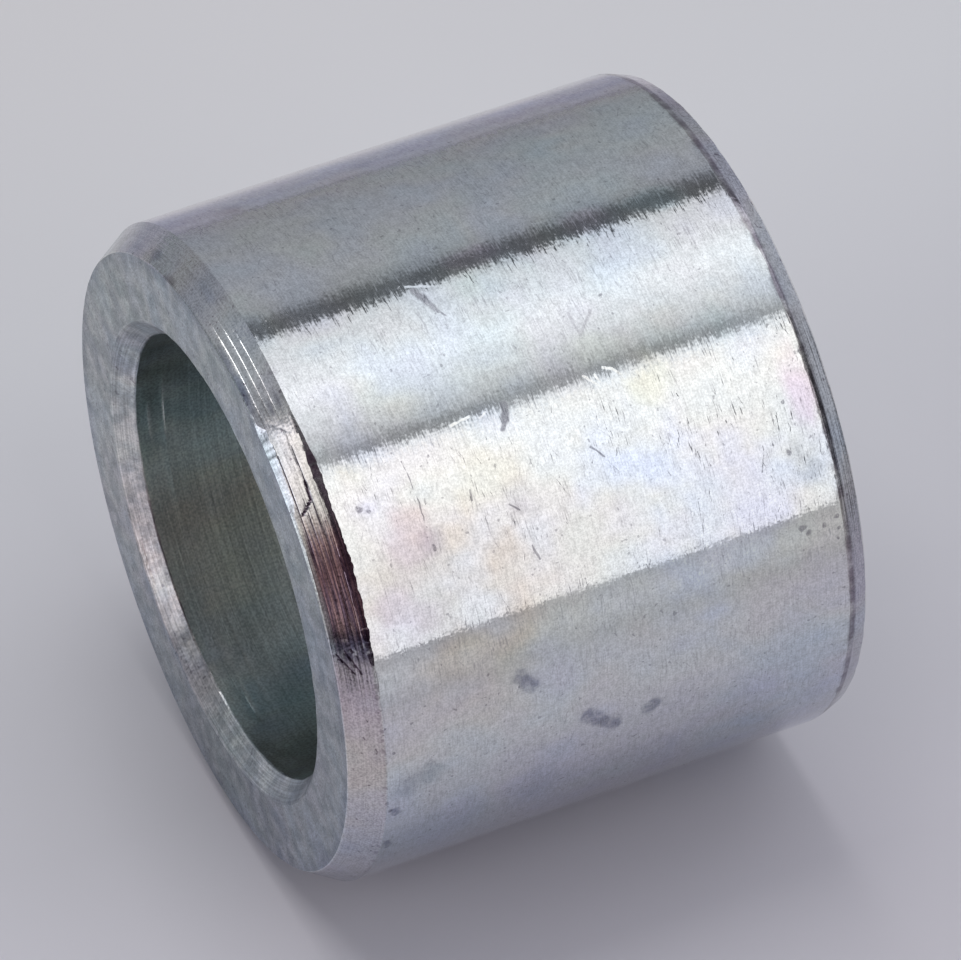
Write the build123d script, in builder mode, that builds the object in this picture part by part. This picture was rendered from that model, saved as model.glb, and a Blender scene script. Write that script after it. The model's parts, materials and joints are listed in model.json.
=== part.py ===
"""Spacer sleeve: a plain turned tube that keeps two parts of a bolted joint at a fixed distance.

Millimetres. +Z is the sleeve's own axis, and the origin is the middle of its lower end face, so the
sleeve stands upright. Its upper end has the longer, steeper lead-in chamfer around the outside.
"""

import os

from build123d import *

# ---------------------------------------------------------------- driving dimensions
outer_diameter = 20.0
bore_diameter = 13.5  # lets an M12 bolt through with room to spare
length = 16.2  # over both end faces

lead_chamfer_length = 0.95  # outside the upper end, along the axis
lead_chamfer_depth = 0.6  # and inward from the outer wall
heel_chamfer_length = 0.55  # outside the lower end, only a broken edge
heel_chamfer_depth = 0.2
mouth_chamfer = 0.55  # inside both ends of the bore, at 45 degrees

# ---------------------------------------------------------------- sizes worked out from them
outer_radius = outer_diameter / 2
bore_radius = bore_diameter / 2
mouth_radius = bore_radius + mouth_chamfer

# ---------------------------------------------------------------- the sleeve
# One side of the wall is drawn in the XZ plane, counter-clockwise from the lower bore mouth, and
# turned once around the axis, as the real sleeve is turned from one bar.
with BuildPart() as sleeve:
    with BuildSketch(Plane.XZ) as wall_section:
        with BuildLine() as wall_outline:
            Polyline(
                (mouth_radius, 0),
                (outer_radius - heel_chamfer_depth, 0),
                (outer_radius, heel_chamfer_length),
                (outer_radius, length - lead_chamfer_length),
                (outer_radius - lead_chamfer_depth, length),
                (mouth_radius, length),
                (bore_radius, length - mouth_chamfer),
                (bore_radius, mouth_chamfer),
                close=True,
            )
        make_face()
    revolve(axis=Axis.Z)

sleeve.part.label = "sleeve"

os.makedirs("parts", exist_ok=True)
export_step(sleeve.part, "parts/sleeve.step")
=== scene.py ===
"""Looks of the spacer sleeve: bright zinc plate over turned steel, lying on its side in a soft studio.

Metres, in the frame of the CAD: +Z is the sleeve's axis. The sleeve lies on the stage floor, which is
therefore a plane that touches its side, and the camera is rolled so that this floor looks level.
"""

import json
import math

import bpy
import numpy as np
from mathutils import Matrix, Vector


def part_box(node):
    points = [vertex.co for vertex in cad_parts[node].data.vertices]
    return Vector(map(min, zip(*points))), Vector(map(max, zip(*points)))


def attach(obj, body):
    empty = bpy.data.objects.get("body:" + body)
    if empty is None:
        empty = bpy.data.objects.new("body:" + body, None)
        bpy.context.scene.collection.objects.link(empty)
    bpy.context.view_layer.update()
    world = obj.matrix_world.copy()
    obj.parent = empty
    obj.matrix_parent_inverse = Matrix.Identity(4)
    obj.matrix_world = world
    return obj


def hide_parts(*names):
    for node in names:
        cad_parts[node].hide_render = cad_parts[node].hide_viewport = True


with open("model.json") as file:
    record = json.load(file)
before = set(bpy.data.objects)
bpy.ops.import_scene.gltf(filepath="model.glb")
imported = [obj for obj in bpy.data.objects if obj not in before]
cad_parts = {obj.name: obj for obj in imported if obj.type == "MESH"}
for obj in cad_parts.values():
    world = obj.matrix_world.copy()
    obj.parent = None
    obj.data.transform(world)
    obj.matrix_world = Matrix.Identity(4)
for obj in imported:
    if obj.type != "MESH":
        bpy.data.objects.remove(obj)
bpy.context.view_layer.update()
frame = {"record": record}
MM = 0.001

# ---------------------------------------- sizes, from the CAD
low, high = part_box("sleeve")
bore_mount = next(m for m in frame["record"]["mounts"] if m["name"] == "bore")
OUTER_R = (high[0] - low[0]) / 2
LENGTH = high[2] - low[2]
BORE_R = bore_mount["dims"]["r_mm"] * MM
MOUTH_CHAMFER = (LENGTH - bore_mount["dims"]["length_mm"] * MM) / 2
LEAD_LENGTH, LEAD_DEPTH = 0.95 * MM, 0.6 * MM  # outer chamfer of the upper end
HEEL_LENGTH, HEEL_DEPTH = 0.55 * MM, 0.2 * MM  # outer chamfer of the lower end

# ---------------------------------------- view and stage
CAMERA_PLACE = Vector((0, -240.7, 83.1)) * MM
CAMERA_AIM = Vector((-0.206, 0, 7.694)) * MM
CAMERA_ROLL = math.radians(18.57)
CAMERA_LENS = 324.1  # on a sensor 36 wide
FLOOR_AZIMUTH = math.radians(43)  # the way the floor faces, round from the camera
FLOOR_SIZE = 1.2
FLOOR_POOL = 0.1  # the floor's colours run from this far behind the sleeve to this far in front
# Painted light and shade on the floor along `across`: brightest just behind the sleeve and darker towards
# the front, as light falling off from behind, with a lighter band painted over the front of the sleeve's
# shadow and a lilac tint painted into it.
FLOOR_PAINTED_LIGHT = [
    (0.0, (0.42, 0.41, 0.475)), (0.24, (0.765, 0.745, 0.755)), (0.35, (0.775, 0.765, 0.785)),
    (0.5, (0.715, 0.695, 0.735)), (0.57, (0.78, 0.75, 0.8)), (0.61, (0.73, 0.7, 0.745)),
    (0.72, (0.68, 0.655, 0.7)), (0.82, (0.61, 0.6, 0.62)), (1.0, (0.79, 0.775, 0.765)),
]
# Under the sleeve, out of sight, the floor opens softly and lights the sleeve's underside from behind:
OPENING_HALF = (3.4 * MM, 1.0 * MM)  # shut and fully open, sideways from the line where the sleeve lies
OPENING_INSET = (0.3 * MM, 1.1 * MM)  # shut and fully open, from the sleeve's two ends


def around(azimuth, radius, height):
    """A point by its azimuth, which is 0 towards the camera and grows towards +X."""
    return Vector((radius * math.sin(azimuth), -radius * math.cos(azimuth), height))


MIX_A, MIX_B, MIX_RESULT = 6, 7, 2  # the colour sockets of a Mix node


class Graph:
    """Short ways to add nodes to a node tree. Each value is a number, a tuple or an output socket."""

    def __init__(self, tree):
        self.tree = tree
        tree.nodes.clear()

    def node(self, kind, inputs=(), **settings):
        made = self.tree.nodes.new(kind)
        for name, value in settings.items():
            setattr(made, name, value)
        for key, value in dict(inputs).items():
            if isinstance(value, bpy.types.NodeSocket):
                self.tree.links.new(value, made.inputs[key])
            else:
                made.inputs[key].default_value = value
        return made

    def math(self, operation, *values):
        return self.node("ShaderNodeMath", enumerate(values), operation=operation).outputs[0]

    def product(self, first, second):
        return self.math("MULTIPLY", first, second)

    def vector(self, operation, *values, **named):
        made = self.node("ShaderNodeVectorMath", {**dict(enumerate(values)), **named}, operation=operation)
        return made.outputs["Value" if operation in ("DOT_PRODUCT", "DISTANCE", "LENGTH") else "Vector"]

    def span(self, value, start, end, low, high, kind="LINEAR"):
        """Goes from low to high as value goes from start to end."""
        inputs = {"Value": value, "From Min": start, "From Max": end, "To Min": low, "To Max": high}
        return self.node("ShaderNodeMapRange", inputs, interpolation_type=kind).outputs[0]

    def smooth(self, value, start, end, low=0.0, high=1.0):
        """Eases from low to high as value goes from start to end."""
        return self.span(value, start, end, low, high, "SMOOTHSTEP")

    def mix(self, factor, first, second, blend="MIX"):
        first, second = ((*v, 1.0) if isinstance(v, tuple) else v for v in (first, second))
        inputs = {"Factor": factor, MIX_A: first, MIX_B: second}
        return self.node("ShaderNodeMix", inputs, data_type="RGBA", blend_type=blend).outputs[MIX_RESULT]

    def ramp(self, factor, stops):
        """A colour ramp; stops are (position, colour) pairs."""
        made = self.node("ShaderNodeValToRGB", {"Fac": factor})
        elements = made.color_ramp.elements
        while len(elements) < len(stops):
            elements.new(0.5)
        for element, (position, colour) in zip(elements, stops):
            element.position = position
            element.color = (*colour, 1.0)
        return made.outputs["Color"]


# ---------------------------------------- camera
def make_camera():
    """The camera, at the photograph's viewing angle and rolled so that the floor looks level."""
    data = bpy.data.cameras.new("camera")
    data.lens = CAMERA_LENS
    data.clip_start, data.clip_end = 0.01, 5.0
    camera = bpy.data.objects.new("camera", data)
    bpy.context.scene.collection.objects.link(camera)
    look = (CAMERA_AIM - CAMERA_PLACE).normalized()
    level = Vector((1, 0, 0))
    level = (level - look * level.dot(look)).normalized()
    side = look.cross(level)
    up = level * math.cos(CAMERA_ROLL) + side * math.sin(CAMERA_ROLL)
    turn = Matrix((look.cross(up), up, -look)).transposed()
    camera.matrix_world = Matrix.Translation(CAMERA_PLACE) @ turn.to_4x4()
    bpy.context.scene.camera = camera


# ---------------------------------------- studio light
def grey(level, tint):
    """A radiance for red, green and blue."""
    return tuple(level * t for t in tint)


COOL = (0.96, 1.005, 1.09)
NEUTRAL = (1.0, 1.0, 1.02)
CREAM = (1.02, 1.0, 0.975)
LILAC = (1.0, 0.96, 1.14)
ROOM = (0.93, 1.0, 1.1)
MAROON = (1.15, 0.93, 1.0)
PURPLE = (1.0, 0.72, 1.05)
PLUM = (1.02, 0.95, 1.12)

# Rings of the studio round the sleeve's axis, as (azimuth in degrees from the camera, level, tint).
# Round the sleeve's waist: a wide window, a seam, a soft box overhead, a dark gap behind it and then a
# dim room.
WAIST = [
    (-180, 0.14, ROOM), (-152, 0.13, ROOM), (-104, 0.18, ROOM), (-72, 0.36, ROOM), (-56, 0.52, NEUTRAL),
    (-48, 0.93, NEUTRAL), (-24, 0.98, NEUTRAL), (-6, 1.08, NEUTRAL), (4, 1.14, NEUTRAL),
    (13, 1.12, NEUTRAL), (17.5, 0.98, COOL), (19, 0.26, COOL), (21, 0.36, COOL), (24, 0.58, COOL),
    (32, 0.83, COOL), (44, 1.07, COOL), (56, 0.88, COOL), (67, 0.74, COOL), (68.8, 0.125, ROOM),
    (73.5, 0.105, ROOM), (78.5, 0.33, ROOM), (85, 0.38, ROOM), (120, 0.31, ROOM), (144, 0.21, LILAC),
    (160, 0.17, LILAC), (180, 0.19, LILAC),
]
OVERHEAD_AZIMUTH = 19.5  # past it stands the box overhead, and before it the window
WINDOW_FROM, OVERHEAD_FROM = -32.0, -44.0  # how far down the two reach, as a rise in degrees
# Above the waist comes a dark seam, then the room towards the upper end, with one window.
SEAM = [
    (-180, 0.18, ROOM), (-60, 0.06, PURPLE), (20, 0.06, PURPLE), (40, 0.12, ROOM), (60, 0.34, ROOM),
    (106, 0.24, ROOM), (180, 0.19, ROOM),
]
NEAR_END = [
    (-180, 0.18, ROOM), (-60, 0.06, MAROON), (-46, 0.06, MAROON), (-36, 0.36, PLUM), (-24, 0.2, MAROON),
    (-12, 0.14, MAROON), (-1, 0.4, CREAM), (7, 0.84, CREAM), (15, 0.98, CREAM), (38, 1.1, CREAM),
    (42, 1.02, NEUTRAL), (45.5, 0.26, ROOM), (58, 0.32, ROOM), (72, 0.42, ROOM), (80, 0.38, ROOM),
    (90, 0.32, ROOM), (106, 0.24, ROOM), (180, 0.18, ROOM),
]
# The ceiling round the sleeve's own axis, past the upper end.
TIP = [
    (-180, 0.16, ROOM), (-90, 0.2, ROOM), (-62, 0.75, COOL), (-30, 1.05, COOL), (8, 1.06, COOL),
    (36, 1.35, COOL), (60, 1.1, COOL), (84, 0.95, COOL), (94, 0.25, ROOM), (180, 0.16, ROOM),
]
FAR_SEAM = grey(0.1, ROOM)
FAR_END = grey(0.42, ROOM)
# The rises, in degrees, over which one part of the sky gives way to the next.
TO_SEAM, TO_NEAR_END, TO_TIP = (0.0, 6.0), (38.0, 43.0), (63.0, 69.0)
TO_FAR_END = (-45.0, -50.0)
TO_FAR_SEAM = 5.0  # as a width, from the foot of the window or of the box


def make_world():
    """A sky of rings round the sleeve's axis, one above the other."""
    world = bpy.data.worlds.new("studio")
    bpy.context.scene.world = world
    world.use_nodes = True
    g = Graph(world.node_tree)
    place = g.node("ShaderNodeTexCoord").outputs["Generated"]
    axes = g.node("ShaderNodeSeparateXYZ", {0: place}).outputs
    azimuth = g.math("ARCTAN2", axes[0], g.product(axes[1], -1.0))
    turn = g.math("MULTIPLY_ADD", azimuth, 0.5 / math.pi, 0.5)
    rise = g.product(g.math("ARCSINE", axes[2]), 180 / math.pi)

    def ring(stops):
        colour = g.ramp(turn, [((degrees + 180) / 360, grey(level, tint)) for degrees, level, tint in stops])
        return g.node("ShaderNodeBackground", {"Color": colour}).outputs[0]

    def beyond(start, end, inner, outer):
        """Goes from one part of the sky to the next as the rise goes from start to end."""
        return g.node("ShaderNodeMixShader", {0: g.smooth(rise, start, end), 1: inner, 2: outer}).outputs[0]

    overhead = g.math("GREATER_THAN", turn, (OVERHEAD_AZIMUTH + 180) / 360)
    foot = g.math("MULTIPLY_ADD", overhead, OVERHEAD_FROM - WINDOW_FROM, WINDOW_FROM)
    far_seam = g.node("ShaderNodeBackground", {"Color": (*FAR_SEAM, 1.0)}).outputs[0]
    far_end = g.node("ShaderNodeBackground", {"Color": (*FAR_END, 1.0)}).outputs[0]
    sky = beyond(foot, g.math("SUBTRACT", foot, TO_FAR_SEAM), ring(WAIST), far_seam)
    sky = beyond(*TO_FAR_END, sky, far_end)
    sky = beyond(*TO_SEAM, sky, ring(SEAM))
    sky = beyond(*TO_NEAR_END, sky, ring(NEAR_END))
    sky = beyond(*TO_TIP, sky, ring(TIP))
    g.node("ShaderNodeOutputWorld", {"Surface": sky})


LAMP_AZIMUTH, LAMP_RISE = math.radians(58), math.radians(7)
LAMP_DISTANCE, LAMP_SIZE = 0.35, 0.22
LAMP_RADIANCE = 2.5


def make_lamp():
    """A soft lamp above and a little behind the sleeve. It shapes the shadow on the floor."""
    data = bpy.data.lights.new("soft_lamp", "AREA")
    data.shape, data.size = "SQUARE", LAMP_SIZE
    data.energy = LAMP_RADIANCE * math.pi * LAMP_SIZE ** 2
    lamp = bpy.data.objects.new("soft_lamp", data)
    bpy.context.scene.collection.objects.link(lamp)
    away = around(LAMP_AZIMUTH, math.cos(LAMP_RISE), math.sin(LAMP_RISE))
    lamp.location = away * LAMP_DISTANCE + Vector((0, 0, LENGTH / 2))
    lamp.rotation_euler = away.to_track_quat("Z", "Y").to_euler()
    lamp.visible_camera = False


# ---------------------------------------- floor
def floor_paper(across):
    """Matt paper with painted light and shade along `across`, clear from behind and in the opening under the
    sleeve.
    """
    material = bpy.data.materials.new("floor_paper")
    material.use_nodes = True
    g = Graph(material.node_tree)
    place = g.node("ShaderNodeTexCoord").outputs["Object"]
    aside = g.vector("DOT_PRODUCT", place, across)
    shade = g.ramp(g.smooth(aside, -FLOOR_POOL, FLOOR_POOL), FLOOR_PAINTED_LIGHT)
    height = g.node("ShaderNodeSeparateXYZ", {0: place}).outputs[2]
    from_middle = g.math("ABSOLUTE", g.math("SUBTRACT", height, LENGTH / 2))
    opening = g.product(g.smooth(g.math("ABSOLUTE", aside), *OPENING_HALF),
                        g.smooth(from_middle, *(LENGTH / 2 - inset for inset in OPENING_INSET)))
    back = g.node("ShaderNodeNewGeometry").outputs["Backfacing"]
    matt = g.node("ShaderNodeBsdfDiffuse", {"Color": shade}).outputs[0]
    clear = g.node("ShaderNodeBsdfTransparent").outputs[0]
    gone = g.math("MAXIMUM", back, opening)
    both = g.node("ShaderNodeMixShader", {0: gone, 1: matt, 2: clear}).outputs[0]
    g.node("ShaderNodeOutputMaterial", {"Surface": both})
    return material


def make_floor():
    """A plane under the sleeve's side. It shows only from its front, so no view is blocked."""
    up = around(FLOOR_AZIMUTH, 1.0, 0.0)
    across = up.cross(Vector((0, 0, 1)))  # over the floor and towards the camera
    middle = Vector((0, 0, LENGTH / 2)) - up * OUTER_R
    half = FLOOR_SIZE / 2
    quarters = ((-1, -1), (-1, 1), (1, 1), (1, -1))
    corners = [middle + across * half * i + Vector((0, 0, half * j)) for i, j in quarters]
    mesh = bpy.data.meshes.new("floor")
    mesh.from_pydata(corners, [], [(0, 1, 2, 3)])
    mesh.materials.append(floor_paper(across))
    floor = bpy.data.objects.new("floor", mesh)
    bpy.context.scene.collection.objects.link(floor)


# ---------------------------------------- the sleeve's mesh, worked out in mm
SPOKES = 400  # points round a plain ring; finer rings have 2 or 4 times as many
SEAM_GAP = 0.01  # between the last ring and the first, halfway down the bore
SHARP = math.radians(14)  # edges past this angle are not smoothed over
LEAST_STEP = 0.004  # between rings that a broken edge pushes together
SIDE_END = 0.16  # from each end of the side to the fine ring next to it
HEEL_SLOPE = 0.58  # along which the heel chamfer's rings are spread
LEAD_PLAIN = (0.7, 0.77, 0.98)  # rings between the lead chamfer's marks, for its knocks

# The section's stretches by number, from halfway down the bore, by way of the lower face.
LOWER_BORE, LOWER_MOUTH, LOWER_FACE, HEEL, SIDE, LEAD, UPPER_FACE, UPPER_MOUTH, UPPER_BORE = range(9)

# Feed marks left by the tool: (distance from the stretch's start, half width, depth).
LEAD_MARKS = [(0.17, 0.026, 0.0055), (0.28, 0.02, 0.003), (0.385, 0.034, 0.008),
              (0.5, 0.02, 0.003), (0.62, 0.03, 0.007), (0.86, 0.034, 0.008)]
# How deep each of them is where the chamfer was rubbed, at these azimuths, but for the two outermost.
LEAD_RUBBED_AT = (-6, 0, 6, 12, 17, 22, 34, 42)
LEAD_RUBBED = [
    (0.5, 0.3, 0.05, 0.05, 0.05, 0.05), (0.5, 0.3, 0.1, 0.05, 0.05, 0.05),
    (0.7, 0.9, 0.75, 0.2, 0.82, 0.8), (0.6, 0.4, 0.1, 0.05, 0.05, 0.05),
    (0.7, 0.5, 0.15, 0.1, 0.82, 0.78), (0.6, 0.9, 0.7, 0.2, 0.8, 0.8),
]
MOUTH_MARKS = [(0.2, 0.04, 0.006), (0.4, 0.05, 0.008), (0.58, 0.04, 0.006)]
BORE_MARKS = [(0.37, 0.045, 0.012), (0.62, 0.055, 0.014), (0.86, 0.045, 0.012)]
# Where the mouth's marks, and each of the bore's, are deepest: the azimuth, and the reach either way.
MOUTH_MARKS_AT = (180, 22)
BORE_MARKS_AT = [(141, 16), (-156, 20), (136, 24)]

# Films on the side, wide soft tints of the plate: (azimuth, height) of the centre, half widths round
# and along, and the tint.
FILMS = [
    ((-14.0, 13.2), (3.0, 3.2), (0.9, 0.875, 0.83)), ((-6.0, 13.4), (1.2, 1.2), (0.97, 0.9, 0.95)),
    ((5.5, 14.2), (0.9, 1.0), (1.0, 0.99, 0.88)), ((-19.0, 14.0), (1.3, 1.5), (0.97, 0.93, 1.01)),
    ((-16.5, 10.6), (1.4, 1.3), (1.03, 0.97, 0.9)), ((-8.0, 12.2), (1.1, 1.0), (1.04, 0.98, 0.9)),
    ((-1.0, 10.8), (1.2, 1.2), (1.02, 0.99, 0.93)), ((5.0, 5.4), (0.9, 0.9), (1.0, 0.99, 0.9)),
    ((-15.0, 4.5), (3.0, 4.4), (0.97, 1.01, 1.15)), ((1.5, 1.5), (1.0, 0.7), (1.0, 0.97, 0.95)),
    ((-5.0, 0.95), (1.3, 0.6), (0.98, 0.85, 0.94)), ((-2.0, 6.5), (2.0, 1.6), (0.97, 0.98, 1.0)),
    ((16.0, 13.0), (1.4, 1.2), (1.02, 1.0, 0.93)), ((17.0, 9.0), (1.6, 1.6), (0.97, 0.98, 0.96)),
    ((27.0, 6.0), (1.6, 3.5), (0.97, 1.0, 1.02)), ((13.0, 4.0), (1.2, 2.0), (1.0, 0.99, 0.95)),
    ((55.0, 12.0), (3.0, 2.2), (1.0, 1.0, 0.98)), ((50.0, 5.0), (3.0, 3.0), (0.94, 0.98, 1.01)),
    ((-34.0, 13.0), (2.0, 2.4), (1.03, 1.0, 0.95)), ((-55.0, 3.0), (3.0, 3.0), (0.94, 0.98, 1.04)),
    ((-62.5, 10.3), (0.9, 1.2), (0.86, 0.87, 0.9)), ((-49.4, 13.9), (0.6, 0.45), (0.72, 0.76, 0.79)),
    ((-51.1, 14.6), (0.65, 0.45), (0.74, 0.75, 0.79)), ((-8.0, 12.6), (0.65, 0.5), (0.8, 0.82, 0.9)),
    ((-13.0, 1.55), (0.65, 0.45), (0.77, 0.78, 0.81)), ((-16.6, 1.3), (0.6, 0.45), (0.74, 0.76, 0.79)),
    ((0.4, 14.3), (0.45, 0.5), (0.88, 0.88, 0.96)), ((36.0, 8.5), (0.5, 1.0), (1.05, 0.97, 1.06)),
    ((36.2, 4.9), (0.5, 0.9), (1.08, 0.96, 0.98)), ((35.4, 2.6), (0.5, 1.2), (0.95, 1.03, 1.06)),
    ((31.5, 8.3), (0.7, 1.4), (0.96, 1.02, 0.99)), ((13.0, 6.4), (0.6, 1.2), (0.98, 1.0, 0.94)),
    ((11.8, 3.4), (0.7, 1.3), (0.94, 1.02, 1.05)), ((-6.1, 10.0), (0.55, 0.4), (0.82, 0.81, 0.85)),
    ((69.5, 13.3), (0.6, 0.4), (0.76, 0.73, 0.74)), ((67.6, 9.9), (0.6, 0.5), (0.84, 0.84, 0.86)),
    ((71.0, 9.1), (0.6, 0.45), (0.84, 0.84, 0.86)),
]
# Darker and duller places on the lead chamfer, by azimuth and distance down its slope.
LEAD_FILMS = [
    ((30.5, 1.06), (1.5, 0.17), (0.6, 0.62, 0.7)), ((23.6, 1.04), (0.7, 0.22), (0.68, 0.7, 0.77)),
    ((21.6, 0.5), (0.5, 0.1), (0.62, 0.62, 0.67)), ((22.2, 0.22), (0.6, 0.13), (0.62, 0.62, 0.67)),
    ((58.0, 1.08), (0.45, 0.14), (0.6, 0.58, 0.6)), ((66.7, 0.76), (0.6, 0.24), (0.7, 0.71, 0.76)),
    ((75.4, 0.84), (0.9, 0.2), (0.78, 0.79, 0.83)), ((48.0, 0.45), (0.7, 0.22), (0.88, 0.9, 0.94)),
]
FILM_WAVES = [(0.045, 0.0), (0.04, 1.5), (0.065, 3.1)]  # how much of red, green and blue, and its lag

# Tones of the plate by azimuth: first in the bore, then on each stretch that has some. The side, the heel
# and lead chamfers and the upper face have painted shade, darker round the underside where they mirror the
# shadowed floor, and the upper mouth has a painted highlight, a bright streak.
BORE_TONES = [
    (-171, (0.78, 0.7, 0.64)), (-157, (0.78, 0.74, 0.74)), (-138, (0.68, 0.74, 0.8)),
    (-120, (0.66, 0.74, 0.8)), (-60, (0.8, 0.9, 1.0)), (60, (0.85, 0.95, 1.05)),
    (120, (0.8, 0.9, 0.96)), (137, (0.86, 0.92, 0.95)), (150, (1.05, 1.01, 0.93)),
    (164, (0.91, 0.75, 0.65)), (180, (0.78, 0.7, 0.64)),
]
TONES = {
    LOWER_BORE: BORE_TONES,
    UPPER_BORE: BORE_TONES,
    # Painted shade: darker round the underside, where the heel chamfer mirrors the shadowed floor.
    HEEL: [
        (-180, (0.8, 0.82, 0.9)), (-60, (0.6, 0.62, 0.71)), (-30, (0.66, 0.67, 0.77)),
        (-18, (0.85, 0.85, 0.95)), (0, (1.0, 0.97, 1.06)), (60, (1.0, 0.97, 1.06)),
        (180, (0.8, 0.82, 0.9)),
    ],
    # Painted shade: darker and bluer on the underside, where the side mirrors the shadowed floor; painted
    # light and shade near the top edge, brighter at 68 degrees and dark at 76.
    SIDE: [
        (-180, (0.8, 0.82, 0.88)), (-76, (0.67, 0.7, 0.79)), (-68, (0.7, 0.75, 0.83)),
        (-60, (0.76, 0.79, 0.86)), (-52, (0.78, 0.82, 0.87)), (-44, (0.86, 0.89, 0.91)),
        (-36, (0.96, 0.97, 0.98)), (-30, (1, 1, 1)), (60, (1, 1, 1)), (68, (1.16, 1.16, 1.12)),
        (76, (0.62, 0.63, 0.77)), (84, (0.82, 0.79, 0.85)), (110, (0.9, 0.9, 0.95)),
    ],
    # Painted shade and light: darker round the underside, where the chamfer mirrors the shadowed floor, and
    # brighter from 25 to 70 degrees.
    LEAD: [
        (-180, (0.8, 0.85, 0.9)), (-80, (0.59, 0.59, 0.69)), (-70, (0.57, 0.6, 0.72)),
        (-60, (0.71, 0.7, 0.77)), (-50, (0.84, 0.8, 0.81)), (-40, (0.86, 0.83, 0.82)),
        (-30, (0.92, 0.82, 0.88)), (-24, (0.72, 0.67, 0.75)), (-20.5, (0.66, 0.75, 0.88)),
        (-17, (1, 1, 1)), (25, (1.05, 1.05, 1.1)), (42, (1.22, 1.22, 1.27)), (50, (1.05, 1.05, 1.1)),
        (60, (1.2, 1.18, 1.18)), (70, (1.1, 1.12, 1.08)), (80, (0.66, 0.69, 0.75)),
    ],
    # Painted shade: the face darker towards the floor, round -140 degrees.
    UPPER_FACE: [
        (-140, (0.78, 0.84, 0.88)), (-100, (0.87, 0.91, 1.0)), (-60, (0.88, 0.92, 1.0)),
        (0, (0.92, 1.0, 1.03)), (80, (0.95, 1.0, 1.0)), (160, (1.02, 1.02, 1.05)),
        (180, (0.92, 0.94, 1.0)),
    ],
    # A painted highlight: a bright streak painted into the mouth from 105 degrees round to -120, darker
    # beside it.
    UPPER_MOUTH: [
        (-172, (1.4, 1.24, 1.16)), (-165, (0.68, 0.61, 0.6)), (-150, (0.96, 0.9, 0.9)),
        (-135, (1.85, 1.85, 1.83)), (-120, (1.5, 1.54, 1.54)), (-105, (1.0, 1.05, 1.12)),
        (-90, (0.7, 0.74, 0.84)), (90, (0.84, 0.88, 0.95)), (105, (1.07, 1.08, 1.1)),
        (120, (1.42, 1.42, 1.42)), (135, (1.38, 1.36, 1.36)), (150, (1.68, 1.64, 1.58)),
        (165, (1.6, 1.44, 1.34)), (172, (1.66, 1.46, 1.36)), (180, (1.66, 1.46, 1.35)),
    ],
}

# Knocks on the lead chamfer: (azimuth, distance down the slope) at both ends, half width and depth.
LEAD_KNOCKS = [
    ((7.6, 0.4), (4.6, 0.42), 0.032, 0.02), ((4.6, 0.42), (2.6, 0.8), 0.042, 0.032),
    ((-21.8, 0.98), (-25.8, 0.56), 0.04, 0.012), ((-21.4, 0.72), (-25.9, 0.36), 0.04, 0.012),
    ((-20.2, 0.6), (-23.6, 0.3), 0.03, 0.009), ((19.6, 0.78), (16.4, 0.3), 0.03, 0.006),
]


class Wander:
    """Smooth noise from -1 to 1 over the unrolled surface, which closes on itself round the sleeve.

    around and along are the size of its cells in mm. Each use has a seed of its own.
    """

    def __init__(self, seed, around, along=50.0):
        self.columns = max(3, round(2 * math.pi * OUTER_R / MM / around))
        self.along = along
        rows = int(80 / along) + 3
        self.table = np.random.default_rng(seed).uniform(-1, 1, (rows, self.columns))

    def __call__(self, azimuths, path=0.0):
        across = azimuths / (2 * np.pi) % 1 * self.columns
        up = np.broadcast_to(path / self.along, azimuths.shape)
        column, row = across.astype(int) % self.columns, up.astype(int)
        after = (column + 1) % self.columns
        s, t = across % 1, up % 1
        s, t = s * s * (3 - 2 * s), t * t * (3 - 2 * t)
        lower = self.table[row, column] * (1 - s) + self.table[row, after] * s
        upper = self.table[row + 1, column] * (1 - s) + self.table[row + 1, after] * s
        return lower * (1 - t) + upper * t


def wandering(azimuths, layers, path=0.0):
    """The sum of some layers of noise, each given as (share, seed, its cells' size in mm)."""
    return sum(share * Wander(seed, *size)(azimuths, path) for share, seed, *size in layers)


def turned_by(azimuths):
    """Azimuths in degrees from -180 to 180."""
    return np.degrees((azimuths + np.pi) % (2 * np.pi) - np.pi)


def by_azimuth(azimuths, stops):
    """A value or a colour read off (azimuth in degrees, value) stops, as a number for each azimuth."""
    places = [stop[0] for stop in stops]
    values = np.array([stop[1] for stop in stops], dtype=float)
    if values.ndim == 1:
        return np.interp(turned_by(azimuths), places, values, period=360)
    return np.stack([np.interp(turned_by(azimuths), places, v, period=360) for v in values.T], axis=1)


# Sizes of the burr and of the lip of the lead chamfer, by azimuth.
BURR_SIZE = [
    (-60, 0.15), (-34, 0.25), (-25, 0.5), (-20, 1.0), (-5, 0.85), (3, 0.8), (7, 0.85), (10, 0.88),
    (12.5, 0.5), (15, 0.33), (18, 0.15), (19.5, 0.02), (60, 0.02),
]
LIP_SIZE = [(-25, 0.2), (-8, 0.3), (3, 0.35), (5, 1.0), (18.5, 1.1), (20, 0.25), (60, 0.2)]


def plain_break(seed, width):
    """A slightly uneven broken edge: how far it reaches before and after its corner, by azimuth."""
    before, after = Wander(seed, 0.5), Wander(seed + 1, 0.35)
    return lambda a: (width * (1 + 0.35 * before(a)), width * (1 + 0.35 * after(a)))


def rolled_burr(azimuths):
    """The ragged burr between the side and the lead chamfer. It is heaviest where it was struck."""
    size = by_azimuth(azimuths, BURR_SIZE) * (1 + 0.12 * Wander(21, 3.0)(azimuths))
    size = np.clip(size, 0.02, 1.3) * (1 + 0.15 * Wander(24, 0.8)(azimuths))
    ragged = wandering(azimuths, [(0.26, 22, 0.4), (0.2, 23, 0.17), (0.14, 25, 0.08)])
    ragged = np.clip(ragged, -0.75, 0.8)
    return 0.12 * size * (1 + ragged), 0.15 * size * (1 + ragged)


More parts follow.
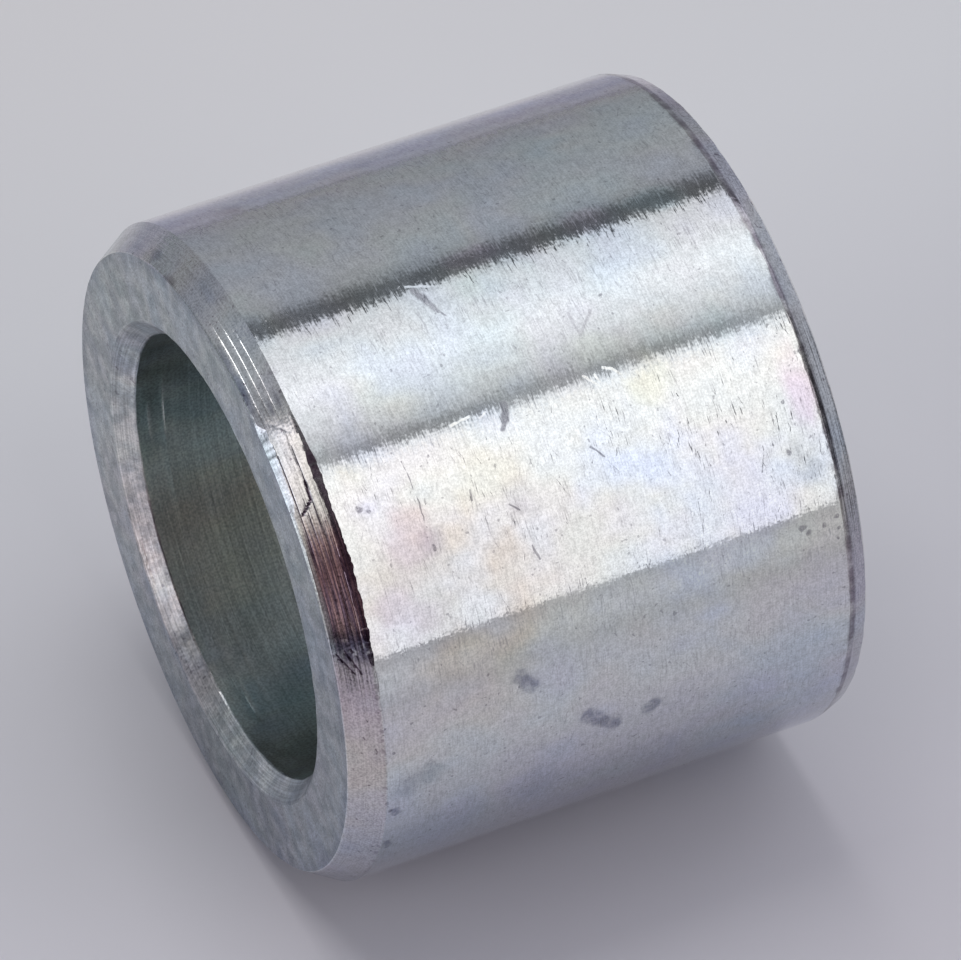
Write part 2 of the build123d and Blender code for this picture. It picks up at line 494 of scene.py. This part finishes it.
def heel_burr(azimuths):
    """The burr round the heel, where the sleeve was parted from its bar."""
    size = 1.1 + wandering(azimuths, [(0.5, 26, 1.6), (0.3, 27, 0.5), (0.14, 28, 0.2)])
    return 0.09 * size, 0.08 * size


def turned_lip(azimuths):
    """The bright lip between the lead chamfer and the face."""
    size = by_azimuth(azimuths, LIP_SIZE) + 0.08 * Wander(31, 2.0)(azimuths)
    size = np.clip(size, 0.15, 1.3)
    ragged = wandering(azimuths, [(0.16, 32, 0.4), (0.12, 33, 0.17), (0.08, 34, 0.09)])
    return 0.2 * size * (1 + ragged), 0.09 * size * (1 + ragged)


def sharp_corner(azimuths):
    return 0 * azimuths, 0 * azimuths


class Corner:
    """A corner of the section in mm, and the stretch that follows it.

    fine says how many times finer than SPOKES the two rings of its broken edge are. rings are the
    (distance from the corner, fineness) of the rings along the stretch.
    """

    def __init__(self, radius, height, zone, rings, fine=1, broken=sharp_corner):
        self.place = np.array([radius, height])
        self.zone, self.rings, self.fine, self.broken = zone, rings, fine, broken


def even(length, count, fine=1):
    """Rings spread evenly over a length, without its two ends."""
    return [(length * (i + 1) / (count + 1), fine) for i in range(count)]


def cut(marks, fine):
    """Rings for V-shaped marks: each one's two edges and its bottom."""
    return [(place + half * k, fine) for place, half, _ in marks for k in (-1, 0, 1)]


def section():
    """The section's corners, from halfway down the bore, round by the lower face and back there."""
    radius, length, bore, mouth = OUTER_R / MM, LENGTH / MM, BORE_R / MM, MOUTH_CHAMFER / MM
    lead_edge, heel_edge = radius - LEAD_DEPTH / MM, radius - HEEL_DEPTH / MM
    mouth_edge = bore + mouth
    side = length - (LEAD_LENGTH + HEEL_LENGTH) / MM
    side_rings = [(SIDE_END, 2)] + even(side, 42) + [(side - SIDE_END, 2)]
    lead_rings = sorted(cut(LEAD_MARKS, 4) + [(place, 4) for place in LEAD_PLAIN])
    bore_rings = even(length / 2 - mouth, 7)
    return [
        Corner(bore, length / 2, "bore", bore_rings),
        Corner(bore, mouth, "mouth", even(mouth * math.sqrt(2), 4), 1, plain_break(41, 0.05)),
        Corner(mouth_edge, 0, "face", even(heel_edge - mouth_edge, 6), 1, plain_break(43, 0.05)),
        Corner(heel_edge, 0, "chamfer", even(HEEL_SLOPE, 4, 2), 2, plain_break(45, 0.06)),
        Corner(radius, HEEL_LENGTH / MM, "side", side_rings, 2, heel_burr),
        Corner(radius, length - LEAD_LENGTH / MM, "chamfer", lead_rings, 4, rolled_burr),
        Corner(lead_edge, length, "face", even(lead_edge - mouth_edge, 8, 2), 4, turned_lip),
        Corner(mouth_edge, length, "mouth", cut(MOUTH_MARKS, 2), 2, plain_break(49, 0.06)),
        Corner(bore, length - mouth, "bore", cut(BORE_MARKS, 1) + bore_rings[1:], 2, plain_break(51, 0.03)),
        Corner(bore, length / 2 + SEAM_GAP, None, []),
    ]


def v_cut(distance, half, depth):
    """The depth of a V-shaped groove at a distance from its middle."""
    return depth * np.clip(1 - np.abs(distance) / half, 0, 1)


def knocks(azimuths, spot):
    """How deep the knocks on the lead chamfer are."""
    lead_r = (OUTER_R - LEAD_DEPTH / 2) / MM
    across = np.radians(turned_by(azimuths)) * lead_r
    total = 0 * azimuths
    for start, end, half, depth in LEAD_KNOCKS:
        a = np.array([math.radians(start[0]) * lead_r, start[1]])
        reach = np.array([math.radians(end[0]) * lead_r, end[1]]) - a
        share = np.clip(((across - a[0]) * reach[0] + (spot - a[1]) * reach[1]) / (reach @ reach), 0, 1)
        distance = np.hypot(across - a[0] - share * reach[0], spot - a[1] - share * reach[1])
        total = np.maximum(total, v_cut(distance, half, depth))
    return total


def near(azimuths, middle, reach, peak, least):
    """1 around a middle azimuth in degrees, falling by 1 over each `reach`, down to `least`."""
    away = (turned_by(azimuths) - middle + 180) % 360 - 180
    return np.clip(peak - np.abs(away) / reach, least, 1)


def mark_strength(number, i, azimuths):
    """How deep feed mark i of a stretch is, as a share of its full depth."""
    strength = np.clip(0.6 + 0.7 * Wander(60 + 10 * number + i, 2.2)(azimuths), 0.05, 1)
    if number == UPPER_MOUTH:
        return strength * near(azimuths, *MOUTH_MARKS_AT, 1.4, 0.1)
    if number == UPPER_BORE:
        return strength * near(azimuths, *BORE_MARKS_AT[i], 1.5, 0.04)
    inside = (0, *[1] * len(LEAD_RUBBED[i]), 0)
    rubbed = np.interp(turned_by(azimuths), LEAD_RUBBED_AT, inside)
    depths = np.interp(turned_by(azimuths), LEAD_RUBBED_AT[1:-1], LEAD_RUBBED[i])
    return strength * (1 - rubbed) + depths * rubbed


def relief(number, zone, azimuths, spot, path, length):
    """How far the surface of stretch `number` lies below its plain form, in mm."""
    from_end = np.minimum(spot, length - spot)
    if zone == "side":
        waves = wandering(azimuths, [(0.0045, 1, 4.5, 5.0), (0.001, 2, 1.5, 2.5)], path)
        return waves * np.clip(from_end / 0.4, 0, 1)
    depth = 0 * azimuths
    if zone != "bore":
        depth = depth + 0.002 * Wander(4, 3.0, 1.5)(azimuths, path) * np.clip(from_end / 0.06, 0, 1)
    if zone == "chamfer":
        depth = depth + 0.0008 * (1 + Wander(3, 0.25, 0.14)(azimuths, path))
    marks = {LEAD: LEAD_MARKS, UPPER_MOUTH: MOUTH_MARKS, UPPER_BORE: BORE_MARKS}.get(number, [])
    for i, (place, half, deepest) in enumerate(marks):
        depth = depth + v_cut(spot - place, half, deepest) * mark_strength(number, i, azimuths)
    if number == LEAD:
        depth = depth + knocks(azimuths, spot)
    return depth


def ring_tint(number, azimuths, height, spot, path):
    """The tint of each point of a ring: the rainbow film, wider films and the tone of its stretch, which
    holds the painted shade and highlights.
    """
    colour = film(azimuths, path)
    if number == SIDE:
        colour = colour * tinted(azimuths, height, FILMS)
    if number == LEAD:
        colour = colour * tinted(azimuths, spot, LEAD_FILMS)
    if number in TONES:
        colour = colour * by_azimuth(azimuths, TONES[number])
    return colour


def make_rings():
    """Every ring as (points in mm, zone of the strip after it, path from the first ring, tint)."""
    corners = section()
    rings = []
    path = 0.0
    for number, (corner, following) in enumerate(zip(corners, corners[1:])):
        reach = following.place - corner.place
        length = float(np.hypot(*reach))
        along = reach / length
        outward = np.array([along[1], -along[0]])
        places = [(0.0, corner.fine)] + corner.rings + [(length, following.fine)]
        for i, (place, fine) in enumerate(places):
            azimuths = np.arange(SPOKES * fine) * 2 * np.pi / (SPOKES * fine)
            first = corner.broken(azimuths)[1] + LEAST_STEP * i
            last = length - following.broken(azimuths)[0] - LEAST_STEP * (len(places) - 1 - i)
            spot = np.minimum(np.maximum(place, first), last)
            depth = relief(number, corner.zone, azimuths, spot, path + spot, length)
            radius, height = (corner.place[k] + along[k] * spot - outward[k] * depth for k in (0, 1))
            points = np.stack([radius * np.sin(azimuths), -radius * np.cos(azimuths), height], axis=1)
            tint = ring_tint(number, azimuths, height, spot, path + spot)
            outside = {corner.zone, following.zone} & {"side", "chamfer"}
            zone = corner.zone if i < len(places) - 1 else "edge" if outside else "rim"
            rings.append((points, zone, path + spot, tint))
        path += length
    return rings[:-1]


def strip(first, count, second, other):
    """The faces between two rings whose first points and numbers of points are given."""
    for j in range(min(count, other)):
        a, b = count // min(count, other), other // min(count, other)
        lower = [first + (a * j + k) % count for k in range(a + 1)]
        upper = [second + (b * j + k) % other for k in range(b + 1)]
        yield lower + upper[::-1]


def film(azimuths, path):
    """The faint rainbow film of clear passivation, as a colour for each point of a ring."""
    phase = wandering(azimuths, [(1.3, 81, 3.2, 3.0), (0.8, 82, 1.2, 1.3), (0.4, 83, 0.5, 0.6)], path)
    waves = [1 - depth * (0.5 - 0.5 * np.cos(2.2 * phase + lag)) for depth, lag in FILM_WAVES]
    return np.stack(waves, axis=1)


def tinted(azimuths, heights, films):
    """Films laid over the plate, as a colour for each point of a ring."""
    degrees = turned_by(azimuths)
    colour = np.ones((len(azimuths), 3))
    ragged = wandering(azimuths, [(0.45, 85, 1.2, 1.2), (0.3, 86, 0.45, 0.5)], heights)
    for (azimuth, height), (wide, tall), tint in films:
        across = np.radians(degrees - azimuth) * OUTER_R / MM / wide
        inside = np.clip((1 - np.hypot(across, (heights - height) / tall) + ragged) / 0.8, 0, 1)
        inside = (inside * inside * (3 - 2 * inside))[:, None]
        colour = colour * (1 + (np.array(tint) - 1) * inside)
    return colour


MATERIAL_OF = {"side": 0, "chamfer": 1, "edge": 1, "face": 2, "mouth": 3, "rim": 3, "bore": 4}


def make_sleeve(materials):
    """The sleeve's mesh, with each point's path and tint for the materials."""
    rings = make_rings()
    starts = np.cumsum([0] + [len(ring[0]) for ring in rings])
    faces, slots = [], []
    for i, (points, zone, _, _) in enumerate(rings):
        after = (i + 1) % len(rings)
        made = list(strip(int(starts[i]), len(points), int(starts[after]), len(rings[after][0])))
        faces += made
        slots += [MATERIAL_OF[zone]] * len(made)
    mesh = bpy.data.meshes.new("turned_sleeve")
    mesh.from_pydata((np.concatenate([ring[0] for ring in rings]) * MM).tolist(), [], faces)
    for material in materials:
        mesh.materials.append(material)
    mesh.polygons.foreach_set("material_index", slots)
    path = mesh.attributes.new("path", "FLOAT", "POINT")
    path.data.foreach_set("value", np.concatenate([ring[2] for ring in rings]).astype(np.float32))
    tint = mesh.attributes.new("tint", "FLOAT_VECTOR", "POINT")
    tint.data.foreach_set("vector", np.concatenate([ring[3] for ring in rings]).astype(np.float32).ravel())
    mesh.shade_smooth()
    mesh.set_sharp_from_angle(angle=SHARP)
    mesh.update()
    sleeve = bpy.data.objects.new("turned_sleeve", mesh)
    bpy.context.scene.collection.objects.link(sleeve)
    return sleeve


# ---------------------------------------- zinc plate
LEAD_EDGE, HEEL_EDGE = (LENGTH - LEAD_LENGTH) / MM, HEEL_LENGTH / MM  # heights of the side's two edges


def unrolled(azimuth, height):
    """A point of the unrolled side, in mm, from its azimuth in degrees and its height in mm."""
    return Vector((math.radians(azimuth) * OUTER_R / MM, height, 0))


class Skin(Graph):
    """A material's graph with the coordinates of the sleeve's surface, in mm and degrees."""

    def __init__(self, name):
        self.material = bpy.data.materials.new(name)
        self.material.use_nodes = True
        super().__init__(self.material.node_tree)
        place = self.node("ShaderNodeTexCoord").outputs["Object"]
        self.place = self.vector("SCALE", place, Scale=1 / MM)
        x, y, self.height = self.node("ShaderNodeSeparateXYZ", {0: self.place}).outputs
        azimuth = self.math("ARCTAN2", x, self.product(y, -1.0))
        self.degrees = self.product(azimuth, 180 / math.pi)
        self.unrolled = self.join(self.product(azimuth, OUTER_R / MM), self.height, 0.0)
        outward = self.vector("NORMALIZE", self.join(x, y, 0.0))
        ox, oy, _ = self.node("ShaderNodeSeparateXYZ", {0: outward}).outputs
        self.round = self.join(self.product(oy, -1.0), ox, 0.0)
        path = self.node("ShaderNodeAttribute", attribute_name="path").outputs["Fac"]
        self.wrapped = self.join(ox, oy, path)
        self.tint = self.node("ShaderNodeAttribute", attribute_name="tint").outputs["Vector"]

    def join(self, x, y, z):
        return self.node("ShaderNodeCombineXYZ", {0: x, 1: y, 2: z}).outputs[0]

    def noise(self, at, scale, seed, detail, output):
        at = self.vector("MULTIPLY_ADD", at, scale, (seed, seed * 1.7, seed * 2.3))
        made = self.node("ShaderNodeTexNoise", {"Vector": at, "Scale": 1.0, "Detail": detail})
        return made.outputs[output]

    def grain(self, size, seed, detail=0.0, output="Fac"):
        """Even noise whose grains are about `size` mm."""
        return self.noise(self.place, (1 / size,) * 3, seed, detail, output)

    def lay(self, around, along, seed, detail=0.0, output="Fac"):
        """Noise drawn out round the sleeve: its grains are `around` mm long and `along` mm wide."""
        ring = OUTER_R / MM / around
        return self.noise(self.wrapped, (ring, ring, 1 / along), seed, detail, output)

    def times(self, first, second, factor=1.0):
        return self.mix(factor, first, second, "MULTIPLY")

    def shaded(self, colour, *levels):
        """A colour times the sum of some grey levels."""
        total = levels[0]
        for level in levels[1:]:
            total = self.math("ADD", total, level)
        return self.times(colour, self.join(total, total, total))

    def greatest(self, values):
        total = values[0]
        for value in values[1:]:
            total = self.math("MAXIMUM", total, value)
        return total

    def lean(self, turn, tip):
        """The surface normal leant by turn round the sleeve and by tip along it."""
        normal = self.node("ShaderNodeNewGeometry").outputs["Normal"]
        leant = self.vector("ADD", normal, self.vector("SCALE", self.round, Scale=turn))
        return self.vector("NORMALIZE", self.vector("ADD", leant, self.join(0.0, 0.0, tip)))

    def comb(self, colour, sideways, lengthways):
        """Two leans from a colour noise, which scatter light round the sleeve and along it."""
        red, green, _ = self.node("ShaderNodeSeparateColor", {0: colour}).outputs
        return (self.product(self.math("SUBTRACT", red, 0.5), sideways),
                self.product(self.math("SUBTRACT", green, 0.5), lengthways))

    def bump(self, height, depth, normal=None):
        """A bump of the given depth in mm."""
        inputs = {"Height": height, "Distance": depth * MM, "Strength": 1.0}
        if normal:
            inputs["Normal"] = normal
        return self.node("ShaderNodeBump", inputs).outputs[0]

    def metal(self, colour, roughness, normal):
        shader = self.node("ShaderNodeBsdfPrincipled", {
            "Base Color": colour, "Metallic": 1.0, "Roughness": roughness, "Normal": normal})
        self.node("ShaderNodeOutputMaterial", {"Surface": shader.outputs[0]})
        return self.material

    def stroke(self, at, start, end, half):
        """1 on a stroke between two points of the unrolled side (azimuth in degrees, height in mm)."""
        reach = unrolled(*end) - unrolled(*start)
        offset = self.vector("SUBTRACT", at, tuple(unrolled(*start)))
        share = self.vector("DOT_PRODUCT", offset, tuple(reach / reach.length_squared))
        share = self.node("ShaderNodeClamp", {0: share}).outputs[0]
        nearest = self.vector("SCALE", tuple(reach), Scale=share)
        return self.smooth(self.vector("DISTANCE", offset, nearest), half, half * 0.4)

    def strokes(self, at, table):
        return self.greatest([self.stroke(at, *stroke) for stroke in table])

    def dot(self, at, centre, radius):
        """1 on a round spot of the unrolled side."""
        return self.smooth(self.vector("DISTANCE", at, tuple(unrolled(*centre))), radius, radius * 0.5)

    def scratches(self, at, cell, reach, half, share, spread):
        """A mask of short scratches, each its own depth, that lie within `spread` of the lay.

        There is one in some `share` of the cells, each `cell` mm across. It runs `reach` mm either way.
        """
        at = self.vector("SCALE", at, Scale=1 / cell)
        cells = self.node("ShaderNodeTexVoronoi", {"Vector": at, "Scale": 1.0}, voronoi_dimensions="2D")
        offset = self.vector("SUBTRACT", at, cells.outputs["Position"])
        red, green, blue = self.node("ShaderNodeSeparateColor", {0: cells.outputs["Color"]}).outputs
        angle = self.math("MULTIPLY_ADD", red, spread, -spread / 2)
        line = self.join(self.math("COSINE", angle), self.math("SINE", angle), 0.0)
        along = self.vector("DOT_PRODUCT", offset, line)
        nearest = self.vector("SCALE", line, Scale=along)
        across = self.vector("LENGTH", self.vector("SUBTRACT", offset, nearest))
        mask = self.smooth(across, half / cell, half / cell * 0.3)
        ends = self.smooth(self.math("ABSOLUTE", along), reach / cell, reach / cell * 0.7)
        depth = self.smooth(blue, 0.0, 1.0, 0.25, 1.0)
        kept = self.product(self.math("LESS_THAN", green, share), depth)
        return self.product(mask, self.product(ends, kept))

    def near_height(self, height, far, close):
        """1 within `close` mm of a height, easing to 0 at `far` mm."""
        return self.smooth(self.math("ABSOLUTE", self.math("SUBTRACT", self.height, height)), far, close)

    def edge_dirt(self, cloudy, most, lead_reach, heel_reach, heel_levels):
        """Dirt along the side's two edges: in small patches at the lead chamfer, `most` at their middle,
        and in long soft ones at the heel. The reaches are near_height's, the levels smooth's."""
        dirty = self.near_height(LEAD_EDGE, *lead_reach)
        dirty = self.product(dirty, self.smooth(cloudy, 0.56, 0.66, 0.0, most))
        dirty = self.product(dirty, self.smooth(self.degrees, 45.0, 20.0, 0.25, 1.0))
        patches = self.smooth(self.grain(0.6, 25.0, 3.0), *heel_levels)
        heel = self.product(self.near_height(HEEL_EDGE, *heel_reach), patches)
        return self.math("MAXIMUM", dirty, heel)


# Marks on the side. Strokes: (azimuth, height) at both ends and half width; azimuths are in degrees.
STROKES = [
    ((33.0, 10.42), (30.0, 10.22), 0.15), ((30.0, 10.22), (28.0, 10.08), 0.11),
    ((28.0, 10.08), (26.9, 9.95), 0.05), ((9.2, 9.43), (6.6, 9.55), 0.16), ((6.6, 9.55), (5.5, 9.73), 0.11),
    ((5.6, 12.82), (2.1, 12.77), 0.03), ((2.1, 12.77), (-5.5, 12.73), 0.03),
    ((-1.7, 7.46), (-3.8, 7.15), 0.04), ((-13.8, 9.91), (-16.6, 9.79), 0.04),
    ((-2.1, 11.21), (-3.7, 11.24), 0.05), ((-6.4, 10.22), (-7.7, 9.98), 0.04),
]
FAINT_STROKES = [
    ((20.3, 6.61), (16.1, 6.56), 0.06), ((19.7, 5.96), (16.4, 6.5), 0.06),
    ((28.5, 10.67), (25.7, 10.61), 0.04),
]
# Raised curls of plate, which catch the light of the window beside them.
CURLS = [
    ((9.5, 6.96), (7.2, 6.62), 0.045), ((9.1, 6.62), (7.8, 6.54), 0.045), ((9.8, 6.32), (9.2, 6.08), 0.06),
    ((9.2, 6.08), (7.9, 5.9), 0.055), ((8.7, 11.09), (9.1, 10.5), 0.045),
    ((8.3, 10.27), (9.0, 10.02), 0.04), ((34.2, 10.58), (32.9, 9.95), 0.055),
]
# Pits: (azimuth, height) of the middle, and radius.
PITS = [
    ((21.4, 5.53), 0.09), ((-33.0, 11.97), 0.08), ((-4.9, 1.59), 0.09), ((-12.9, 1.81), 0.13),
    ((-9.2, 12.68), 0.1), ((5.2, 12.07), 0.08), ((0.4, 14.47), 0.13), ((-0.3, 14.2), 0.09),
    ((-26.3, 1.9), 0.13), ((-27.3, 1.72), 0.1), ((-26.8, 1.16), 0.09), ((-26.2, 0.82), 0.1),
    ((-28.1, 0.81), 0.12), ((-30.0, 0.89), 0.08), ((-36.6, 15.2), 0.08), ((-42.1, 15.05), 0.07),
    ((-55.7, 15.12), 0.11), ((2.1, 0.62), 0.12), ((-5.4, 0.58), 0.13), ((-8.3, 0.56), 0.15),
    ((-11.2, 0.56), 0.16), ((-14.0, 0.6), 0.13),
]
# Dark stains on the underside, as wide strokes.
STAINS = [
    ((-48.6, 8.95), (-53.0, 8.1), 0.34), ((-35.6, 10.95), (-37.8, 10.7), 0.34),
    ((-52.0, 7.02), (-51.3, 6.86), 0.32), ((-56.8, 14.95), (-56.0, 14.98), 0.2),
    ((-67.5, 15.02), (-66.0, 15.05), 0.18),
]
# Dark strokes over four of the knocks on the lead chamfer.
KNOCK_STROKES = [
    ((7.9, 15.59), (4.6, 15.6), 0.04), ((4.6, 15.6), (2.6, 15.93), 0.05),
    ((-21.8, 16.08), (-25.8, 15.72), 0.03), ((-21.4, 15.86), (-25.9, 15.55), 0.03),
]
SCORCH_AZIMUTH = -21.0  # where the lead chamfer is burnt darkest
TOOL_RINGS_AZIMUTH = -12.0  # and where its tool rings stand out most


def side_marks(g, ragged, nearly, mottle, cloudy):
    """Where the side is dark: single strokes, pits, specks and the dirt along its edges."""
    strokes = g.product(g.strokes(nearly, STROKES), g.smooth(mottle, 0.25, 0.6, 0.65, 1.0))
    pits = g.greatest([g.dot(ragged, *pit) for pit in PITS])
    pits = g.product(pits, g.smooth(mottle, 0.35, 0.55, 0.55, 1.0))
    specks = g.smooth(g.grain(0.13, 18.0), 0.77, 0.83, 0.0, 0.6)
    dirt = g.edge_dirt(cloudy, 0.6, (0.16, 0.04), (0.2, 0.05), (0.44, 0.66))
    return g.greatest([strokes, pits, specks, dirt])


def side_scratches(g, nearly):
    """Fine scratches, crowded in places: short ones, longer ones and hair lines that follow the lay."""
    crowding = g.grain(1.3, 14.0, 1.0)
    share = g.smooth(crowding, 0.4, 0.6, 0.1, 0.85)
    short = g.scratches(nearly, cell=0.34, reach=0.14, half=0.024, share=share, spread=0.8)
    long = g.scratches(nearly, cell=0.85, reach=0.32, half=0.024, share=0.4, spread=1.5)
    hair = g.smooth(g.lay(0.45, 0.04, 12.0, 1.0), 0.58, 0.7)
    hair = g.product(hair, g.smooth(crowding, 0.42, 0.58, 0.35, 0.9))
    return g.greatest([short, long, hair])


def side_plate():
    """Bright zinc on the turned side: a fine lay, tinted films, stains, scratches and pits."""
    g = Skin("zinc_side")
    wobble = g.vector("ADD", g.grain(0.3, 8.0, 1.0, "Color"), (-0.5,) * 3)
    ragged = g.vector("ADD", g.unrolled, g.vector("SCALE", wobble, Scale=0.26))
    nearly = g.vector("ADD", g.unrolled, g.vector("SCALE", wobble, Scale=0.12))
    mottle = g.grain(0.055, 22.0)
    cloudy = g.grain(0.22, 23.0, 1.0)
    stains = g.product(g.strokes(ragged, STAINS), g.smooth(cloudy, 0.3, 0.6, 0.45, 1.0))
    marks = side_marks(g, ragged, nearly, mottle, cloudy)
    fine = side_scratches(g, nearly)

    colour = g.times((0.84, 0.845, 0.86), g.tint)
    colour = g.times(colour, (0.5, 0.51, 0.57), stains)
    colour = g.times(colour, (0.44, 0.43, 0.46), marks)
    scratched = g.math("MAXIMUM", fine, g.strokes(nearly, FAINT_STROKES))
    colour = g.times(colour, (0.78, 0.77, 0.785), scratched)
    streaks = g.smooth(g.lay(0.5, 0.05, 20.0, 1.0), 0.3, 0.7, 0.93, 1.04)
    colour = g.shaded(colour, streaks, g.smooth(mottle, 0.25, 0.75, -0.1, 0.1),
                      g.smooth(cloudy, 0.3, 0.7, -0.05, 0.05))

    roughness = g.smooth(g.grain(1.1, 24.0, 1.0), 0.3, 0.7, 0.055, 0.1)
    roughness = g.math("MULTIPLY_ADD", marks, 0.2, roughness)
    rubbed = g.smooth(g.degrees, -18.0, 3.0, 0.02, 0.062)
    turn, tip = g.comb(g.lay(0.35, 0.055, 26.0, 1.0, "Color"), rubbed, 0.1)
    turn = g.math("MULTIPLY_ADD", g.strokes(nearly, CURLS), -0.065, turn)
    tip = g.math("MULTIPLY_ADD", fine, -0.15, tip)
    return g.metal(colour, roughness, g.bump(g.grain(0.1, 28.0), 0.001, g.lean(turn, tip)))


def struck_colour(g, cloudy):
    """The plate's colour before its tints: brown in streaks where the lead chamfer was struck, and
    scorched beside that."""
    lead = g.smooth(g.height, LENGTH / MM - 0.1, LENGTH / MM - 0.2)
    lead = g.product(lead, g.smooth(g.height, LENGTH / MM - 2, LENGTH / MM - 1))
    struck = g.product(g.smooth(g.degrees, -24.0, -17.0), g.smooth(g.degrees, 4.0, -4.0))
    streaks = g.lay(1.4, 0.06, 33.0, 1.0)
    brown = g.mix(g.smooth(streaks, 0.42, 0.6), (0.46, 0.34, 0.42), (0.98, 0.69, 0.67))
    colour = g.mix(g.product(struck, lead), (0.83, 0.825, 0.82), brown)
    away = g.math("ABSOLUTE", g.math("SUBTRACT", g.degrees, SCORCH_AZIMUTH))
    scorched = g.product(g.smooth(away, 3.8, 1.5, 0.0, 0.85), lead)
    scorched = g.product(scorched, g.smooth(cloudy, 0.35, 0.5))
    return g.times(colour, (0.3, 0.27, 0.36), scorched)


def cut_plate():
    """Zinc over the tool marks of the chamfers and broken edges."""
    g = Skin("zinc_cut")
    cloudy = g.grain(0.22, 38.0, 1.0)
    colour = g.times(struck_colour(g, cloudy), g.tint)
    away = g.math("ABSOLUTE", g.math("SUBTRACT", g.degrees, TOOL_RINGS_AZIMUTH))
    ringed = g.smooth(away, 24.0, 13.0, 0.86, 0.45)
    colour = g.shaded(colour, g.span(g.lay(2.5, 0.03, 35.0, 1.0), 0.38, 0.62, ringed, 1.0),
                      g.smooth(g.grain(0.06, 36.0), 0.25, 0.75, -0.14, 0.14),
                      g.smooth(cloudy, 0.3, 0.7, -0.06, 0.06))
    specks = g.smooth(g.grain(0.14, 37.0), 0.76, 0.82, 0.0, 0.7)
    dirt = g.edge_dirt(cloudy, 0.5, (0.18, 0.05), (0.16, 0.05), (0.36, 0.62, 0.3, 0.8))
    marks = g.greatest([g.strokes(g.unrolled, KNOCK_STROKES), specks, dirt])
    colour = g.times(colour, (0.28, 0.23, 0.28), marks)
    roughness = g.smooth(g.grain(0.5, 39.0, 1.0), 0.3, 0.7, 0.12, 0.22)
    turn, tip = g.comb(g.lay(1.2, 0.045, 41.0, 1.0, "Color"), 0.05, 0.18)
    return g.metal(colour, roughness, g.bump(g.grain(0.09, 43.0), 0.002, g.lean(turn, tip)))


def end_plate(name, seed, streaky, reach, gritty):
    """Dull satin zinc on the faces and in the mouths.

    streaky is how much the tool's rings show, reach how far round each one runs, in mm, and gritty
    how much fine grit shows.
    """
    g = Skin(name)
    clouds = g.smooth(g.grain(0.55, seed, 3.0), 0.36, 0.64)
    colour = g.mix(clouds, (0.335, 0.36, 0.385), (0.505, 0.52, 0.535))
    colour = g.times(colour, g.tint)
    radius = g.vector("LENGTH", g.vector("MULTIPLY", g.place, (1, 1, 0)))
    outside = (OUTER_R - LEAD_DEPTH) / MM
    colour = g.times(colour, (0.84, 0.84, 0.89), g.smooth(radius, outside - 0.55, outside - 0.05))
    lines = g.smooth(g.lay(reach, 0.06, seed + 1, 1.0), 0.36, 0.64, 1 - streaky, 1 + streaky * 0.8)
    colour = g.shaded(colour, lines, g.smooth(g.grain(0.06, seed + 2), 0.3, 0.7, -gritty, gritty),
                      g.smooth(g.grain(0.2, seed + 8, 1.0), 0.3, 0.7, -0.07, 0.07))
    specks = g.smooth(g.grain(0.16, seed + 3), 0.73, 0.82, 0.0, 0.7)
    colour = g.times(colour, (0.55, 0.53, 0.57), specks)
    roughness = g.smooth(g.grain(0.6, seed + 4, 1.0), 0.3, 0.7, 0.28, 0.4)
    turn, tip = g.comb(g.lay(reach, 0.08, seed + 5, 0.0, "Color"), 0.02, 0.02)
    return g.metal(colour, roughness, g.bump(g.grain(0.12, seed + 6), 0.01, g.lean(turn, tip)))


def bore_plate():
    """Thin greenish plate in the bore, where the current hardly reached, over the boring tool's rings."""
    g = Skin("zinc_bore")
    clouds = g.smooth(g.grain(2.0, 71.0, 1.0), 0.35, 0.65)
    colour = g.mix(clouds, (0.69, 0.71, 0.69), (0.81, 0.83, 0.8))
    colour = g.times(colour, g.tint)
    deeper = g.smooth(g.height, LENGTH / MM - 3.2, LENGTH / MM - 5.0, 1.0, 1.2)  # brighter further in
    colour = g.shaded(colour, deeper)
    rings = g.lay(9.0, 0.13, 73.0, 2.0)
    colour = g.shaded(colour, g.smooth(rings, 0.35, 0.65, 0.88, 1.0),
                      g.smooth(g.grain(0.07, 74.0), 0.25, 0.75, -0.16, 0.16))
    roughness = g.smooth(g.grain(0.8, 75.0, 1.0), 0.3, 0.7, 0.28, 0.36)
    return g.metal(colour, roughness, g.bump(rings, 0.01))


make_camera()
make_world()
make_lamp()
make_floor()
plates = [
    side_plate(),
    cut_plate(),
    end_plate("zinc_face", 51, streaky=0.05, reach=2.0, gritty=0.18),
    end_plate("zinc_mouth", 91, streaky=0.17, reach=5.0, gritty=0.1),
    bore_plate(),
]
turned_sleeve = make_sleeve(plates)
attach(turned_sleeve, "root")
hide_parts("sleeve")

bpy.context.scene.view_settings.view_transform = "Standard"
